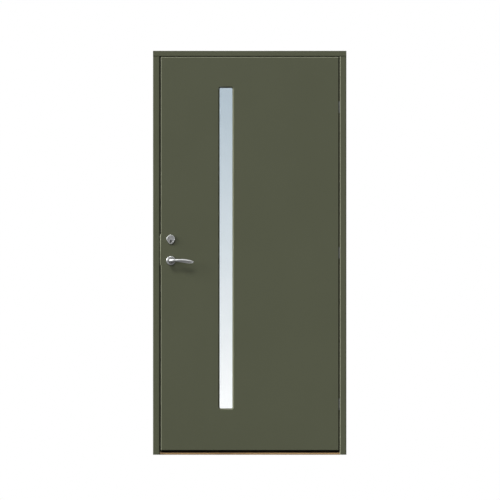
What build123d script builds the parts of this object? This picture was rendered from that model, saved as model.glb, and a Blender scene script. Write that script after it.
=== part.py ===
from build123d import *
import math
import os

# Front door leaf in its frame. X runs to the right seen from outside, the outside faces -Y, +Z is up.
# The origin is on the floor line, in the middle of the frame's width and of the leaf's thickness.
# All sizes are millimetres.

# Frame
frame_width = 996.0
frame_height = 2080.0
frame_depth = 105.0
jamb_thickness = 34.0
header_thickness = 29.0
stop_height = 17.0          # the stop stands this far past the rebate
seal_space = 5.0            # between the leaf's inner face and the stop
edge_radius = 4.5           # rounding of the painted front edges
header_top_radius = 1.5
threshold_front = 14.0      # height of the oak threshold under the leaf's outer face
threshold_rear = 15.5       # height where its slope meets the stop
threshold_stop = 40.0       # height of the stop behind the leaf
threshold_round = 3.0
threshold_setback = 14.0    # behind the frame's outer face
fixing_radius = 7.0         # holes for the screws that hold the frame in its wall
fixing_y = 12.0
fixing_first_z = 130.0
fixing_from_top = 210.0
fixing_count = 4

# Leaf
leaf_thickness = 66.0
leaf_edge_radius = 3.0      # rounding of the leaf's outer edges
lock_gap = 7.0
hinge_gap = 6.0
head_gap = 3.0
foot_gap = 9.0              # between the threshold's front and the leaf
skin_thickness = 8.0
lock_stile_width = 100.0
hinge_stile_width = 70.0
rail_height = 100.0

# Window: a tall slot with a sloped bead
window_from_lock_edge = 335.0
window_width = 82.4
core_above_window = 14.5    # foam between the top rail and the liner
core_below_window = 70.7
window_corner = 15.0
bead_slope = 7.6            # width of the sloped face seen from the front
bead_land = 0.6
bead_flange = 3.0
bead_gap = 0.4              # between the bead and the liner
glass_cover = 12.0          # how far the unit reaches behind the bead
glass_thickness = 4.0
pane_gap = 14.0
spacer_width = 8.0
spacer_inset = 2.0
tape_thickness = 2.0
tape_width = 10.0
unit_clearance = 3.0        # between the unit and the liner, and the blocks' height
liner_width = 30.0
inner_bead_lap = 8.0        # the inner bead's flange laps the skin by this much
inner_bead_proud = 3.0
block_length = 25.0

# Lock
backset = 50.5
spindle_z = 1000.0
key_rise = 98.0             # key cylinder's plug above the spindle
case_depth = 80.0
case_end = 18.0             # the faceplate reaches this far past the case at each end
case_thickness = 16.0
case_wall = 2.0
plate_thickness = 3.0       # faceplate and strike plate
plate_screw_inset = 9.5
faceplate_width = 22.0
faceplate_height = 236.0
strike_width = 24.0
latch_thickness = 12.0
latch_height = 24.0
latch_reach = 14.0
bolt_reach = 20.0
slide_clearance = 0.4
pocket_clearance = 1.5      # round the latch and the bolt in the strike
pocket_depth = 18.0
mortise_clearance = 0.5

# Hinges: the pin lies inside the jamb and a bent arm reaches round its lip
hinge_from_foot = 237.0     # lowest and highest hinge from the leaf's ends
hinge_from_top = 258.0
hinge_middle_rise = 15.0    # middle hinge above the other two's middle
hinge_inset = 14.0          # pin behind the rebate's face
hinge_behind_face = 15.0    # pin behind the outer face
hinge_pin_radius = 3.0
barrel_radius = 6.0
arm_thickness = 6.0
arm_height = 60.0
arm_bend = 24.0             # from the pin to the arm's crossing
cup_wall = 2.0
cup_end = 6.0
cup_clearance = 1.0
cup_back_clearance = 2.0
hinge_plate_height = 110.0
hinge_plate_corner = 6.0
hinge_screw_inset = 9.0
arm_plate_width = 28.0
hinge_plate_thickness = 2.0
arm_plate_thickness = 3.0
swing_angle = 100.0

# Shared fits and fasteners
running = 0.05              # radial clearance of a shaft that turns in its hole
turning_gap = 0.4           # between faces that turn past each other
screw_radius = 2.2
screw_head_radius = 4.2
screw_length = 28.0
frame_screw_radius = 2.5
frame_screw_head = 5.0
frame_screw_length = 80.0

# Places worked out from the sizes
half_width = frame_width / 2
outer_y = -leaf_thickness / 2
inner_y = leaf_thickness / 2
stop_y = inner_y + seal_space
back_y = outer_y + frame_depth
rebate_x = half_width - jamb_thickness
stop_x = rebate_x - stop_height
rebate_z = frame_height - header_thickness
stop_z = rebate_z - stop_height
leaf_left = -rebate_x + lock_gap
leaf_right = rebate_x - hinge_gap
leaf_top = rebate_z - head_gap
leaf_bottom = threshold_front + foot_gap
spindle_x = leaf_left + backset
core_front = outer_y + skin_thickness
core_back = inner_y - skin_thickness
hinge_x = rebate_x + hinge_inset
hinge_y = outer_y + hinge_behind_face
key_z = spindle_z + key_rise
liner_lap = liner_width + unit_clearance + glass_cover - bead_slope - bead_land
window_top = leaf_top - rail_height - core_above_window - liner_lap
window_bottom = leaf_bottom + rail_height + core_below_window + liner_lap
window_height = window_top - window_bottom
window_z = (window_top + window_bottom) / 2
window_x = leaf_left + window_from_lock_edge
hinge_first_z = leaf_bottom + hinge_from_foot
hinge_last_z = leaf_top - hinge_from_top
hinge_zs = (hinge_first_z, (hinge_first_z + hinge_last_z) / 2 + hinge_middle_rise, hinge_last_z)
fixing_spacing = (frame_height - fixing_from_top - fixing_first_z) / (fixing_count - 1)
fixing_zs = [fixing_first_z + turn * fixing_spacing for turn in range(fixing_count)]
case_height = faceplate_height - 2 * case_end

os.makedirs("parts", exist_ok=True)


def keep(piece, name):
    piece.label = name
    export_step(piece, f"parts/{name}.step")


def facing_out(y):
    """Plane at this y that looks outside; its sketches use x and z."""
    return Plane.XZ.offset(-y)


def facing_right(x):
    """Plane at this x that looks along +X; its sketches use y and z."""
    return Plane.YZ.offset(x)


def middle(a, b):
    return (a + b) / 2


def screw_group(plane, places, radius, head_radius, length):
    """Countersunk screws with their heads in the plane, driven against its normal."""
    with BuildPart() as group:
        with BuildSketch(plane):
            with Locations(*places):
                Circle(radius)
        extrude(amount=-length)
        with BuildSketch(plane):
            with Locations(*places):
                Circle(head_radius)
        extrude(amount=radius - head_radius, taper=45)
    return group.part


# Screws of the frame's corners, from the top of the header into the jambs
corner_screw_x = half_width - jamb_thickness / 2
corner_screw_ys = (-12.0, 22.0)
corner_screws = screw_group(
    Plane.XY.offset(frame_height),
    [(side * corner_screw_x, y) for side in (-1, 1) for y in corner_screw_ys],
    frame_screw_radius, frame_screw_head, frame_screw_length,
)
keep(corner_screws, "corner_screws")

# Screws that hold the threshold, from the outer side of each jamb
foot_screw_z = 8.0
foot_screw_ys = (-8.0, 54.0)
with BuildPart() as threshold_screws:
    for side in (-1, 1):
        wall = Plane.YZ.offset(half_width) if side > 0 else Plane.YZ.offset(-half_width)
        with BuildSketch(wall):
            with Locations(*[(y, foot_screw_z) for y in foot_screw_ys]):
                Circle(screw_radius)
        extrude(amount=-side * frame_screw_length)
        with BuildSketch(wall):
            with Locations(*[(y, foot_screw_z) for y in foot_screw_ys]):
                Circle(screw_head_radius)
        extrude(amount=-side * (screw_head_radius - screw_radius), taper=45)
keep(threshold_screws.part, "threshold_screws")

# Strike plate with a window for the latch and one for the bolt
strike_z = middle(spindle_z, key_z)
plate_screw_reach = faceplate_height / 2 - plate_screw_inset
strike_screw_zs = [strike_z - plate_screw_reach, strike_z, strike_z + plate_screw_reach]
strike_screws = screw_group(
    Plane(origin=(-rebate_x, 0, 0), x_dir=(0, 1, 0), z_dir=(1, 0, 0)),
    [(0, z) for z in strike_screw_zs],
    screw_radius, screw_head_radius, screw_length,
)
keep(strike_screws, "strike_screws")
pocket_width = latch_thickness + 2 * pocket_clearance
pocket_height = latch_height + 2 * pocket_clearance
with BuildPart() as strike_plate:
    with BuildSketch(facing_right(-rebate_x)):
        with Locations((0, strike_z)):
            RectangleRounded(strike_width, faceplate_height, strike_width / 2 - 1)
        with Locations((0, spindle_z), (0, key_z)):
            Rectangle(pocket_width, pocket_height, mode=Mode.SUBTRACT)
    extrude(amount=-plate_thickness)
    add(strike_screws, mode=Mode.SUBTRACT)
keep(strike_plate.part, "strike_plate")

# Hinge housings, pins and screws in the hinge-side jamb
cup_front = hinge_y - barrel_radius - cup_clearance - cup_wall
cup_rear = hinge_y + arm_bend + arm_thickness / 2 + cup_back_clearance + cup_wall
cup_width = cup_rear - cup_front
cup_depth = hinge_inset + barrel_radius + cup_back_clearance + cup_wall
cup_inside = arm_height + 2 * cup_clearance
cup_height = cup_inside + 2 * cup_end
cup_y = middle(cup_front, cup_rear)
hinge_screw_reach = hinge_plate_height / 2 - hinge_screw_inset
housing_screws = screw_group(
    Plane(origin=(rebate_x, 0, 0), x_dir=(0, -1, 0), z_dir=(-1, 0, 0)),
    [(-cup_y, z + way * hinge_screw_reach) for z in hinge_zs for way in (-1, 1)],
    screw_radius, screw_head_radius, screw_length,
)
keep(housing_screws, "hinge_housing_screws")


def hinge_housing(z):
    with BuildPart() as piece:
        with BuildSketch(facing_right(rebate_x)):
            with Locations((cup_y, z)):
                RectangleRounded(cup_width, hinge_plate_height, hinge_plate_corner)
        extrude(amount=hinge_plate_thickness)
        with BuildSketch(facing_right(rebate_x)):
            with Locations((cup_y, z)):
                Rectangle(cup_width, cup_height)
        extrude(amount=cup_depth)
        with BuildSketch(facing_right(rebate_x)):
            with Locations((cup_y, z)):
                Rectangle(cup_width - 2 * cup_wall, cup_inside)
        extrude(amount=cup_depth - cup_wall, mode=Mode.SUBTRACT)
        with BuildSketch(Plane.XY.offset(z - cup_height / 2)):
            with Locations((hinge_x, hinge_y)):
                Circle(hinge_pin_radius)
        extrude(amount=cup_height, mode=Mode.SUBTRACT)
        add(housing_screws, mode=Mode.SUBTRACT)
    return piece.part


hinge_names = ("bottom", "middle", "top")
for name, z in zip(hinge_names, hinge_zs):
    keep(hinge_housing(z), f"{name}_hinge_housing")
with BuildPart() as hinge_pins:
    for z in hinge_zs:
        with BuildSketch(Plane.XY.offset(z - cup_height / 2)):
            with Locations((hinge_x, hinge_y)):
                Circle(hinge_pin_radius)
        extrude(amount=cup_height)
keep(hinge_pins.part, "hinge_pins")

# Kerf seals: a barb in a groove of the stop and a bulb in front of it
kerf_width = 3.0
kerf_depth = 8.0
barb_width = 2.6
bulb_width = 6.0
bulb_round = 2.4
bulb_clear = 0.3
bulb_height = seal_space - bulb_clear
lock_seal_x = middle(leaf_left, -stop_x)
hinge_seal_x = middle(leaf_right, stop_x)
head_seal_z = middle(leaf_top, stop_z)
foot_seal_z = middle(leaf_bottom, threshold_stop)


def upright_seal(x):
    with BuildPart() as piece:
        with BuildSketch(Plane.XY.offset(foot_seal_z - bulb_width / 2)):
            with Locations((x, stop_y - bulb_height / 2)):
                Rectangle(bulb_width, bulb_height)
            fillet(vertices().group_by(Axis.Y)[0], bulb_round)
        extrude(amount=head_seal_z - foot_seal_z + bulb_width)
        with BuildSketch(Plane.XY.offset(foot_seal_z - bulb_width / 2)):
            with Locations((x, stop_y + kerf_depth / 2)):
                Rectangle(barb_width, kerf_depth)
        extrude(amount=stop_z - foot_seal_z + bulb_width / 2)
    return piece.part


def level_seal(z, barb_reach):
    left = lock_seal_x + bulb_width / 2
    right = hinge_seal_x - bulb_width / 2
    with BuildPart() as piece:
        with BuildSketch(facing_right(left)):
            with Locations((stop_y - bulb_height / 2, z)):
                Rectangle(bulb_height, bulb_width)
            fillet(vertices().group_by(Axis.X)[0], bulb_round)
        extrude(amount=right - left)
        with BuildSketch(facing_right(-barb_reach)):
            with Locations((stop_y + kerf_depth / 2, z)):
                Rectangle(kerf_depth, barb_width)
        extrude(amount=2 * barb_reach)
    return piece.part


keep(upright_seal(lock_seal_x), "lock_side_seal")
keep(upright_seal(hinge_seal_x), "hinge_side_seal")
keep(level_seal(head_seal_z, stop_x), "head_seal")
keep(level_seal(foot_seal_z, stop_x), "threshold_seal")


# Jambs: rebate, stop, kerf, fixing holes and the step under the header's stop
def jamb(side, seal_x):
    wall = side * half_width
    with BuildPart() as piece:
        with BuildSketch():
            with BuildLine():
                Polyline(
                    (wall, outer_y), (side * rebate_x, outer_y), (side * rebate_x, stop_y),
                    (side * stop_x, stop_y), (side * stop_x, back_y), (wall, back_y), close=True,
                )
            make_face()
            fillet(vertices().group_by(Axis.Y)[0], edge_radius)
            with Locations((seal_x, stop_y)):
                Rectangle(kerf_width, 2 * kerf_depth, mode=Mode.SUBTRACT)
        extrude(amount=rebate_z)
        with BuildSketch(Plane.XY.offset(rebate_z)):
            with Locations((wall, back_y)):
                Rectangle(2 * (jamb_thickness + stop_height), 2 * (back_y - stop_y))
        extrude(amount=-stop_height, mode=Mode.SUBTRACT)
        with BuildSketch(facing_right(wall)):
            with Locations(*[(fixing_y, z) for z in fixing_zs]):
                Circle(fixing_radius)
        extrude(amount=-side * jamb_thickness, mode=Mode.SUBTRACT)
        add(corner_screws, mode=Mode.SUBTRACT)
        add(threshold_screws.part, mode=Mode.SUBTRACT)
    return piece.part


with BuildPart() as lock_jamb:
    add(jamb(-1, lock_seal_x))
    with BuildSketch(facing_right(-rebate_x)):
        with Locations((0, strike_z)):
            RectangleRounded(strike_width, faceplate_height, strike_width / 2 - 1)
    extrude(amount=-plate_thickness, mode=Mode.SUBTRACT)
    with BuildSketch(facing_right(-rebate_x)):
        with Locations((0, spindle_z), (0, key_z)):
            Rectangle(pocket_width, pocket_height)
    extrude(amount=-pocket_depth, mode=Mode.SUBTRACT)
    add(strike_screws, mode=Mode.SUBTRACT)
keep(lock_jamb.part, "lock_jamb")

with BuildPart() as hinge_jamb:
    add(jamb(1, hinge_seal_x))
    with BuildSketch(facing_right(rebate_x)):
        with Locations(*[(cup_y, z) for z in hinge_zs]):
            RectangleRounded(cup_width, hinge_plate_height, hinge_plate_corner)
    extrude(amount=hinge_plate_thickness, mode=Mode.SUBTRACT)
    with BuildSketch(facing_right(rebate_x)):
        with Locations(*[(cup_y, z) for z in hinge_zs]):
            Rectangle(cup_width, cup_height)
    extrude(amount=cup_depth, mode=Mode.SUBTRACT)
    add(housing_screws, mode=Mode.SUBTRACT)
keep(hinge_jamb.part, "hinge_jamb")

# Header: lies on the jambs, with its own stop behind the leaf
with BuildPart() as header:
    with BuildSketch(facing_right(-half_width)):
        with BuildLine():
            Polyline(
                (outer_y, rebate_z), (stop_y, rebate_z), (stop_y, stop_z),
                (back_y, stop_z), (back_y, frame_height), (outer_y, frame_height), close=True,
            )
        make_face()
        corners = vertices().group_by(Axis.X)[0].sort_by(Axis.Y)
        fillet(corners[0], edge_radius)
        fillet(vertices().group_by(Axis.Y)[-1].sort_by(Axis.X)[0], header_top_radius)
        with Locations((stop_y, head_seal_z)):
            Rectangle(2 * kerf_depth, kerf_width, mode=Mode.SUBTRACT)
    extrude(amount=frame_width)
    add(corner_screws, mode=Mode.SUBTRACT)
keep(header.part, "header")

# Oak threshold: sloped step in front, stop behind
threshold_y = outer_y + threshold_setback
with BuildPart() as threshold:
    with BuildSketch(facing_right(-stop_x)):
        with BuildLine():
            Polyline(
                (threshold_y, 0), (back_y, 0), (back_y, threshold_stop), (stop_y, threshold_stop),
                (stop_y, threshold_rear), (threshold_y, threshold_front), close=True,
            )
        make_face()
        fillet(vertices().group_by(Axis.Y)[-1], threshold_round)
        with Locations((stop_y, foot_seal_z)):
            Rectangle(2 * kerf_depth, kerf_width, mode=Mode.SUBTRACT)
    extrude(amount=2 * stop_x)
    with BuildSketch(facing_right(-rebate_x)):
        with BuildLine():
            Polyline(
                (threshold_y, 0), (stop_y, 0), (stop_y, threshold_rear),
                (threshold_y, threshold_front), close=True,
            )
        make_face()
    extrude(amount=2 * rebate_x)
    front_edges = edges().filter_by(Axis.X).group_by(Axis.Y)[0].sort_by(Axis.Z)
    fillet(front_edges[-1], threshold_round)
    add(threshold_screws.part, mode=Mode.SUBTRACT)
keep(threshold.part, "threshold")

# Hinge arms on the leaf and their screws
arm_cross_y = hinge_y + arm_bend
arm_screws = screw_group(
    Plane(origin=(leaf_right, 0, 0), x_dir=(0, 1, 0), z_dir=(1, 0, 0)),
    [(arm_cross_y, z + way * hinge_screw_reach) for z in hinge_zs for way in (-1, 1)],
    screw_radius, screw_head_radius, screw_length,
)
keep(arm_screws, "hinge_arm_screws")


def hinge_arm(z):
    arm_outer_x = hinge_x + arm_thickness / 2
    with BuildPart() as piece:
        with BuildSketch(Plane.XY.offset(z - arm_height / 2)):
            with Locations((hinge_x, middle(hinge_y, arm_cross_y))):
                Rectangle(arm_thickness, arm_bend + arm_thickness)
            with Locations((middle(leaf_right, arm_outer_x), arm_cross_y)):
                Rectangle(arm_outer_x - leaf_right, arm_thickness)
            elbow = (arm_outer_x, arm_cross_y + arm_thickness / 2)
            fillet(vertices().sort_by_distance(elbow)[0], arm_thickness)
            with Locations((hinge_x, hinge_y)):
                Circle(barrel_radius)
                Circle(hinge_pin_radius + running, mode=Mode.SUBTRACT)
        extrude(amount=arm_height)
        with BuildSketch(facing_right(leaf_right)):
            with Locations((arm_cross_y, z)):
                RectangleRounded(arm_plate_width, hinge_plate_height, hinge_plate_corner)
        extrude(amount=-arm_plate_thickness)
        add(arm_screws, mode=Mode.SUBTRACT)
    return piece.part


for name, z in zip(hinge_names, hinge_zs):
    keep(hinge_arm(z), f"{name}_hinge_arm")

# Leaf: two skins over a ring of stiles and rails round the foam core
leaf_x = middle(leaf_left, leaf_right)
leaf_z = middle(leaf_bottom, leaf_top)
leaf_width = leaf_right - leaf_left
leaf_height = leaf_top - leaf_bottom
glass_width = window_width - 2 * (bead_slope + bead_land)
glass_height = window_height - 2 * (bead_slope + bead_land)
unit_width = glass_width + 2 * glass_cover
unit_height = glass_height + 2 * glass_cover
liner_inside_width = unit_width + 2 * unit_clearance
liner_inside_height = unit_height + 2 * unit_clearance
unit_depth = 3 * glass_thickness + 2 * pane_gap
unit_front = -unit_depth / 2
bead_back = unit_front - tape_thickness

# Bores for the spindle and for the key cylinder
spindle_bore = 10.0
ring_radius = 21.6
ring_foot_radius = 13.7
ring_rise = 13.0            # the round part's middle above the key
ring_width = 4.6
cylinder_clearance = 0.4
ring_proud = 10.0

# Pry guard: an angle that covers the gap in front of the latch
guard_above_strike = 7.0
guard_z = strike_z + guard_above_strike
guard_height = 160.0
guard_reach = 5.0
guard_sheet = 2.0
guard_leg = 19.0
guard_screw_radius = 1.7
guard_screw_head = 3.2
guard_screw_length = 20.0
guard_screw_inset = 16.0


def window_outline(width, height, corner):
    with Locations((window_x, window_z)):
        RectangleRounded(width, height, corner)


def window_square(width, height):
    with Locations((window_x, window_z)):
        Rectangle(width, height)


def egg(inset):
    """Outline of the key cylinder: a circle that narrows to the round of the plug."""
    with Locations((spindle_x, key_z + ring_rise)):
        Circle(ring_radius - inset)
    with Locations((spindle_x, key_z)):
        Circle(ring_foot_radius - inset)
    make_hull()


guard_screw_y = outer_y + (guard_sheet + guard_leg) / 2
guard_screw_reach = guard_height / 2 - guard_screw_inset
guard_screws = screw_group(
    Plane(origin=(leaf_left, 0, 0), x_dir=(0, -1, 0), z_dir=(-1, 0, 0)),
    [(-guard_screw_y, guard_z + way * guard_screw_reach) for way in (-1, 0, 1)],
    guard_screw_radius, guard_screw_head, guard_screw_length,
)
keep(guard_screws, "pry_guard_screws")
with BuildPart() as pry_guard:
    with BuildSketch(Plane.XY.offset(guard_z - guard_height / 2)):
        with Locations((leaf_left - guard_reach, outer_y)):
            Rectangle(guard_reach + guard_sheet, guard_sheet, align=Align.MIN)
        with Locations((leaf_left, outer_y)):
            Rectangle(guard_sheet, guard_leg, align=Align.MIN)
    extrude(amount=guard_height)
    with BuildSketch(Plane.XY.offset(guard_z - guard_height / 2)):
        with Locations((leaf_left, outer_y)):
            Rectangle(guard_sheet, guard_leg, align=Align.MIN)
    guard_recess = extrude(amount=guard_height, mode=Mode.PRIVATE)
    add(guard_screws, mode=Mode.SUBTRACT)
keep(pry_guard.part, "pry_guard")

with BuildPart() as outer_skin:
    with BuildSketch(facing_out(outer_y)):
        with Locations((leaf_x, leaf_z)):
            Rectangle(leaf_width, leaf_height)
    extrude(amount=-skin_thickness)
    fillet(faces().sort_by(Axis.Y)[0].edges(), leaf_edge_radius)
    with BuildSketch(facing_out(outer_y)):
        window_outline(window_width, window_height, window_corner)
        with Locations((spindle_x, spindle_z)):
            Circle(spindle_bore)
    extrude(amount=-skin_thickness, mode=Mode.SUBTRACT)
    with BuildSketch(facing_out(outer_y)):
        egg(ring_width - cylinder_clearance)
    extrude(amount=-skin_thickness, mode=Mode.SUBTRACT)
    add(guard_recess, mode=Mode.SUBTRACT)
keep(outer_skin.part, "outer_skin")

with BuildPart() as inner_skin:
    with BuildSketch(facing_out(core_back)):
        with Locations((leaf_x, leaf_z)):
            Rectangle(leaf_width, leaf_height)
    extrude(amount=-skin_thickness)
    fillet(faces().sort_by(Axis.Y)[-1].edges(), header_top_radius)
    with BuildSketch(facing_out(core_back)):
        window_square(liner_inside_width, liner_inside_height)
        with Locations((spindle_x, spindle_z), (spindle_x, key_z)):
            Circle(spindle_bore)
    extrude(amount=-skin_thickness, mode=Mode.SUBTRACT)
keep(inner_skin.part, "inner_skin")

# Screws of the lock's faceplate
faceplate_screws = screw_group(
    Plane(origin=(leaf_left, 0, 0), x_dir=(0, -1, 0), z_dir=(-1, 0, 0)),
    [(0, strike_z + way * plate_screw_reach) for way in (-1, 1)],
    screw_radius, screw_head_radius, screw_length,
)
keep(faceplate_screws, "faceplate_screws")

core_depth = core_back - core_front
with BuildPart() as lock_stile:
    with BuildSketch(facing_out(core_front)):
        with Locations((leaf_left + lock_stile_width / 2, leaf_z)):
            Rectangle(lock_stile_width, leaf_height)
    extrude(amount=-core_depth)
    # mortise for the case and a recess for the faceplate
    with BuildSketch(facing_right(leaf_left)):
        with Locations((0, strike_z)):
            Rectangle(case_thickness + 2 * mortise_clearance, case_height + 2 * mortise_clearance)
    extrude(amount=plate_thickness + case_depth + mortise_clearance, mode=Mode.SUBTRACT)
    with BuildSketch(facing_right(leaf_left)):
        with Locations((0, strike_z)):
            RectangleRounded(faceplate_width, faceplate_height, faceplate_width / 2 - 1)
    extrude(amount=plate_thickness, mode=Mode.SUBTRACT)
    with BuildSketch(facing_out(core_front)):
        with Locations((spindle_x, spindle_z)):
            Circle(spindle_bore)
    extrude(amount=-core_depth, mode=Mode.SUBTRACT)
    with BuildSketch(facing_out(core_front)):
        egg(ring_width - cylinder_clearance)
    extrude(amount=-core_depth / 2, mode=Mode.SUBTRACT)
    with BuildSketch(facing_out(0)):
        with Locations((spindle_x, key_z)):
            Circle(spindle_bore)
    extrude(amount=-core_depth / 2, mode=Mode.SUBTRACT)
    add(faceplate_screws, mode=Mode.SUBTRACT)
    add(guard_recess, mode=Mode.SUBTRACT)
    add(guard_screws, mode=Mode.SUBTRACT)
keep(lock_stile.part, "lock_stile")

with BuildPart() as hinge_stile:
    with BuildSketch(facing_out(core_front)):
        with Locations((leaf_right - hinge_stile_width / 2, leaf_z)):
            Rectangle(hinge_stile_width, leaf_height)
    extrude(amount=-core_depth)
    with BuildSketch(facing_right(leaf_right)):
        with Locations(*[(arm_cross_y, z) for z in hinge_zs]):
            RectangleRounded(arm_plate_width, hinge_plate_height, hinge_plate_corner)
    extrude(amount=-arm_plate_thickness, mode=Mode.SUBTRACT)
    add(arm_screws, mode=Mode.SUBTRACT)
keep(hinge_stile.part, "hinge_stile")

rail_left = leaf_left + lock_stile_width
rail_right = leaf_right - hinge_stile_width
rail_length = rail_right - rail_left
rail_x = middle(rail_left, rail_right)


def rail(z):
    with BuildPart() as piece:
        with BuildSketch(facing_out(core_front)):
            with Locations((rail_x, z)):
                Rectangle(rail_length, rail_height)
        extrude(amount=-core_depth)
    return piece.part


keep(rail(leaf_top - rail_height / 2), "top_rail")
keep(rail(leaf_bottom + rail_height / 2), "bottom_rail")

liner_width_out = liner_inside_width + 2 * liner_width
liner_height_out = liner_inside_height + 2 * liner_width
with BuildPart() as insulation_core:
    with BuildSketch(facing_out(core_front)):
        with Locations((rail_x, leaf_z)):
            Rectangle(rail_length, leaf_height - 2 * rail_height)
        with Locations((window_x, window_z)):
            Rectangle(liner_width_out, liner_height_out, mode=Mode.SUBTRACT)
    extrude(amount=-core_depth)
keep(insulation_core.part, "insulation_core")

with BuildPart() as window_liner:
    with BuildSketch(facing_out(core_front)):
        window_square(liner_width_out, liner_height_out)
        with Locations((window_x, window_z)):
            Rectangle(liner_inside_width, liner_inside_height, mode=Mode.SUBTRACT)
    extrude(amount=-core_depth)
keep(window_liner.part, "window_liner")


# Sealed glass unit, its blocks and tapes
def window_ring(front, depth, width, height, bar):
    with BuildPart() as piece:
        with BuildSketch(facing_out(front)):
            window_square(width, height)
            with Locations((window_x, window_z)):
                Rectangle(width - 2 * bar, height - 2 * bar, mode=Mode.SUBTRACT)
        extrude(amount=-depth)
    return piece.part


pane_names = ("outer_pane", "middle_pane", "inner_pane")
for turn, name in enumerate(pane_names):
    with BuildPart() as pane:
        with BuildSketch(facing_out(unit_front + turn * (glass_thickness + pane_gap))):
            window_square(unit_width, unit_height)
        extrude(amount=-glass_thickness)
    keep(pane.part, name)
for turn, name in enumerate(("outer_spacer", "inner_spacer")):
    spacer_front = unit_front + glass_thickness + turn * (glass_thickness + pane_gap)
    keep(
        window_ring(
            spacer_front, pane_gap, unit_width - 2 * spacer_inset,
            unit_height - 2 * spacer_inset, spacer_width,
        ),
        name,
    )
keep(window_ring(bead_back, tape_thickness, unit_width, unit_height, tape_width), "outer_glazing_tape")
keep(window_ring(-unit_front, tape_thickness, unit_width, unit_height, tape_width), "inner_glazing_tape")

with BuildPart() as setting_blocks:
    with BuildSketch(facing_out(unit_front)):
        with Locations((window_x, window_z - liner_inside_height / 2 + unit_clearance / 2)):
            with GridLocations(unit_width - 2 * block_length, 1, 2, 1):
                Rectangle(block_length, unit_clearance)
    extrude(amount=-unit_depth)
keep(setting_blocks.part, "setting_blocks")

# Glazing beads: sloped from the opening's edge down to the glass
slot_land_width = window_width - 2 * bead_land
slot_land_height = window_height - 2 * bead_land
slope_angle = math.degrees(math.atan(bead_slope / (bead_back - outer_y)))
bead_flange_width = liner_inside_width - 2 * bead_gap
bead_flange_height = liner_inside_height - 2 * bead_gap
with BuildPart() as outer_glazing_bead:
    with BuildSketch(facing_out(outer_y)):
        window_outline(window_width, window_height, window_corner)
    extrude(amount=-(bead_back - outer_y))
    with BuildSketch(facing_out(core_front)):
        window_square(bead_flange_width, bead_flange_height)
    extrude(amount=-bead_flange)
    with BuildSketch(facing_out(outer_y)):
        window_outline(slot_land_width, slot_land_height, window_corner - bead_land)
    extrude(amount=-(bead_back - outer_y), taper=slope_angle, mode=Mode.SUBTRACT)
keep(outer_glazing_bead.part, "outer_glazing_bead")

inner_face_y = inner_y + inner_bead_proud
inner_slope_angle = math.degrees(math.atan(bead_slope / (inner_face_y + bead_back)))
with BuildPart() as inner_glazing_bead:
    with BuildSketch(facing_out(-bead_back)):
        window_square(bead_flange_width, bead_flange_height)
    extrude(amount=-(inner_face_y + bead_back))
    with BuildSketch(facing_out(inner_y)):
        window_outline(
            liner_inside_width + 2 * inner_bead_lap, liner_inside_height + 2 * inner_bead_lap,
            window_corner,
        )
    extrude(amount=-inner_bead_proud)
    fillet(faces().sort_by(Axis.Y)[-1].edges(), header_top_radius)
    with BuildSketch(Plane.XZ.offset(-inner_face_y)):
        window_outline(slot_land_width, slot_land_height, window_corner - bead_land)
    extrude(amount=inner_face_y + bead_back, taper=inner_slope_angle, mode=Mode.SUBTRACT)
keep(inner_glazing_bead.part, "inner_glazing_bead")

# Lock case and faceplate
case_front = leaf_left + plate_thickness
case_inside = case_thickness / 2 - case_wall
follower_radius = 11.0
follower_trunnion = 9.0
pinion_trunnion = 7.0
window_slide_width = latch_thickness + 2 * slide_clearance
window_slide_height = latch_height + 2 * slide_clearance
with BuildPart() as lock_case:
    with BuildSketch(facing_right(case_front)):
        with Locations((0, strike_z)):
            Rectangle(case_thickness, case_height)
    extrude(amount=case_depth)
    with BuildSketch(facing_right(case_front)):
        with Locations((0, strike_z)):
            Rectangle(2 * case_inside, case_height - 2 * case_wall)
    extrude(amount=case_depth - case_wall, mode=Mode.SUBTRACT)
    with BuildSketch(facing_out(-case_thickness / 2)):
        with Locations((spindle_x, spindle_z)):
            Circle(follower_trunnion + running)
        with Locations((spindle_x, key_z)):
            Circle(pinion_trunnion + running)
    extrude(amount=-case_thickness, mode=Mode.SUBTRACT)
keep(lock_case.part, "lock_case")

with BuildPart() as lock_faceplate:
    with BuildSketch(facing_right(leaf_left)):
        with Locations((0, strike_z)):
            RectangleRounded(faceplate_width, faceplate_height, faceplate_width / 2 - 1)
        with Locations((0, spindle_z), (0, key_z)):
            Rectangle(window_slide_width, window_slide_height, mode=Mode.SUBTRACT)
    extrude(amount=plate_thickness)
    add(faceplate_screws, mode=Mode.SUBTRACT)
keep(lock_faceplate.part, "lock_faceplate")

# Roses: stepped discs round the lever necks
rose_radius = 23.5
rose_height = 9.0
rose_step = 1.8
rose_rim = 4.5
neck_radius = 9.6
rose_bore = neck_radius + turning_gap


def turning_plane(z):
    """Plane through the axis of the spindle or the key; its sketches use x and y."""
    return Plane(origin=(spindle_x, 0, z), x_dir=(1, 0, 0), z_dir=(0, 0, 1))


def axis_at(z):
    return Axis((spindle_x, 0, z), (0, 1, 0))


def lever_rose(side):
    face = side * inner_y
    with BuildPart() as piece:
        with BuildSketch(turning_plane(spindle_z)):
            with BuildLine():
                Polyline(
                    (rose_bore, face), (rose_radius, face),
                    (rose_radius, face + side * (rose_height - rose_step)),
                    (rose_radius - rose_step, face + side * rose_height),
                    (rose_radius - rose_rim, face + side * rose_height),
                    (rose_radius - rose_rim - rose_step, face + side * (rose_height - rose_step)),
                    (rose_bore, face + side * (rose_height - rose_step)), close=True,
                )
            make_face()
        revolve(axis=axis_at(spindle_z))
    return piece.part


keep(lever_rose(-1), "outer_rose")
keep(lever_rose(1), "inner_rose")

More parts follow.
